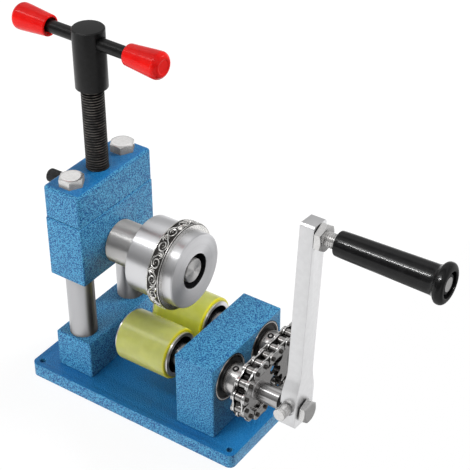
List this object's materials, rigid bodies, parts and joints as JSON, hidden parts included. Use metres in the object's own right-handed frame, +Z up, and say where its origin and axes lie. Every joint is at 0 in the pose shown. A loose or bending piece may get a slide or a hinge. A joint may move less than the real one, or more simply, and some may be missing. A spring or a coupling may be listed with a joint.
{
  "type": "jewelry bending machine",
  "caption": "Hand-cranked bench machine that bends metal strip between a screw-pressed top roll and chain-driven lower rollers.",
  "frame": {"origin": "centre of the underside of the base plate", "axes": "+X along the roll axes towards the crank, +Y across the machine away from the crank's drive roller, +Z up"},
  "size_m": [0.3375, 0.102, 0.2728],
  "materials": {
    "blue_paint": "blue hammered paint on cast and milled steel",
    "black_steel": "black oxide, lightly oiled",
    "ground_steel": "ground and polished bar",
    "turned_steel": "fine turned finish",
    "pattern_steel": "raised scrolls polished, ground darkened",
    "sprocket_steel": "machined, lightly oiled",
    "chain_steel": "nickel plated roller chain",
    "bearing_steel": "polished bearing steel",
    "seal_rubber": "black moulded rubber seal",
    "bronze": "sintered bronze",
    "zinc_steel": "bright zinc plate",
    "plated_arm": "satin grey plated steel",
    "red_vinyl": "glossy dip-moulded vinyl",
    "yellow_urethane": "cast translucent urethane",
    "black_plastic": "smooth moulded plastic"
  },
  "bodies": {
    "frame": {"base_plate": "blue_paint", "base_screws": "black_steel", "foot_block": "blue_paint", "guide_posts": "ground_steel", "crosshead": "blue_paint", "crosshead_bolts": "zinc_steel", "bearing_block": "blue_paint", "block_bearing_outers": "bearing_steel", "block_bearing_balls": "bearing_steel", "block_bearing_seals": "seal_rubber", "chain_inner_plates": "chain_steel", "chain_outer_plates": "chain_steel", "chain_offset_plates": "chain_steel", "chain_bushes": "chain_steel", "chain_rollers": "chain_steel", "chain_pins": "chain_steel"},
    "lock": {"lock_screw": "black_steel"},
    "head": {"sliding_head": "blue_paint", "post_bushes": "bronze", "head_bearing_outers": "bearing_steel", "head_bearing_balls": "bearing_steel", "thrust_button": "ground_steel", "keeper_halves": "black_steel", "keeper_screws": "black_steel"},
    "screw": {"press_screw": "black_steel", "screw_hub": "black_steel"},
    "bar": {"tommy_bar": "black_steel", "bar_grips": "red_vinyl"},
    "roll": {"roll_shaft": "ground_steel", "head_bearing_inners": "bearing_steel", "top_roll": "turned_steel", "pattern_ring": "pattern_steel", "roll_clips": "black_steel"},
    "drive": {"drive_shaft": "ground_steel", "drive_bearing_inners": "bearing_steel", "drive_roller_core": "turned_steel", "drive_roller_sleeve": "yellow_urethane", "drive_roller_clip": "black_steel", "drive_sprocket": "sprocket_steel", "drive_set_screw": "black_steel", "crank_arm": "plated_arm", "crank_end_bolt": "zinc_steel", "crank_set_bolt": "zinc_steel", "handle_spindle": "zinc_steel", "handle_nut": "zinc_steel"},
    "grip": {"handle_grip": "black_plastic"},
    "idler": {"idler_shaft": "ground_steel", "idler_bearing_inners": "bearing_steel", "idler_roller_core": "turned_steel", "idler_roller_sleeve": "yellow_urethane", "idler_roller_clip": "black_steel", "idler_sprocket": "sprocket_steel", "idler_set_screw": "black_steel"}
  },
  "joints": [
    {"name": "head_slide", "type": "slide", "parent": "frame", "child": "head", "axis": [0, 0, 1], "range_m": [-0.011, 0]},
    {"name": "screw_turn", "type": "hinge", "parent": "head", "child": "screw", "pos_m": [-0.0565, 0, 0.2], "axis": [0, 0, 1], "range_deg": [-1980, 0]},
    {"name": "bar_slide", "type": "slide", "parent": "screw", "child": "bar", "axis": [0.999, -0.0454, 0], "range_m": [-0.022, 0.022]},
    {"name": "roll_spin", "type": "hinge", "parent": "head", "child": "roll", "pos_m": [0, 0, 0.1108], "axis": [1, 0, 0], "continuous": true},
    {"name": "crank_turn", "type": "hinge", "parent": "frame", "child": "drive", "pos_m": [0, -0.02143, 0.0523], "axis": [1, 0, 0], "continuous": true, "deforming": ["chain_inner_plates", "chain_outer_plates", "chain_offset_plates", "chain_bushes", "chain_rollers", "chain_pins"]},
    {"name": "idler_turn", "type": "hinge", "parent": "frame", "child": "idler", "pos_m": [0, 0.02143, 0.0523], "axis": [1, 0, 0], "continuous": true},
    {"name": "grip_spin", "type": "hinge", "parent": "drive", "child": "grip", "pos_m": [0.18, -0.00971, 0.18629], "axis": [1, 0, 0], "continuous": true},
    {"name": "lock_turn", "type": "hinge", "parent": "frame", "child": "lock", "pos_m": [-0.08, -0.0113, 0.15374], "axis": [1, 0, 0], "range_deg": [-180, 180]}
  ],
  "couplings": [
    {"joint": "head_slide", "follows": "screw_turn", "m_per_rad": 0.00031831},
    {"joint": "idler_turn", "follows": "crank_turn", "ratio": 1}
  ]
}
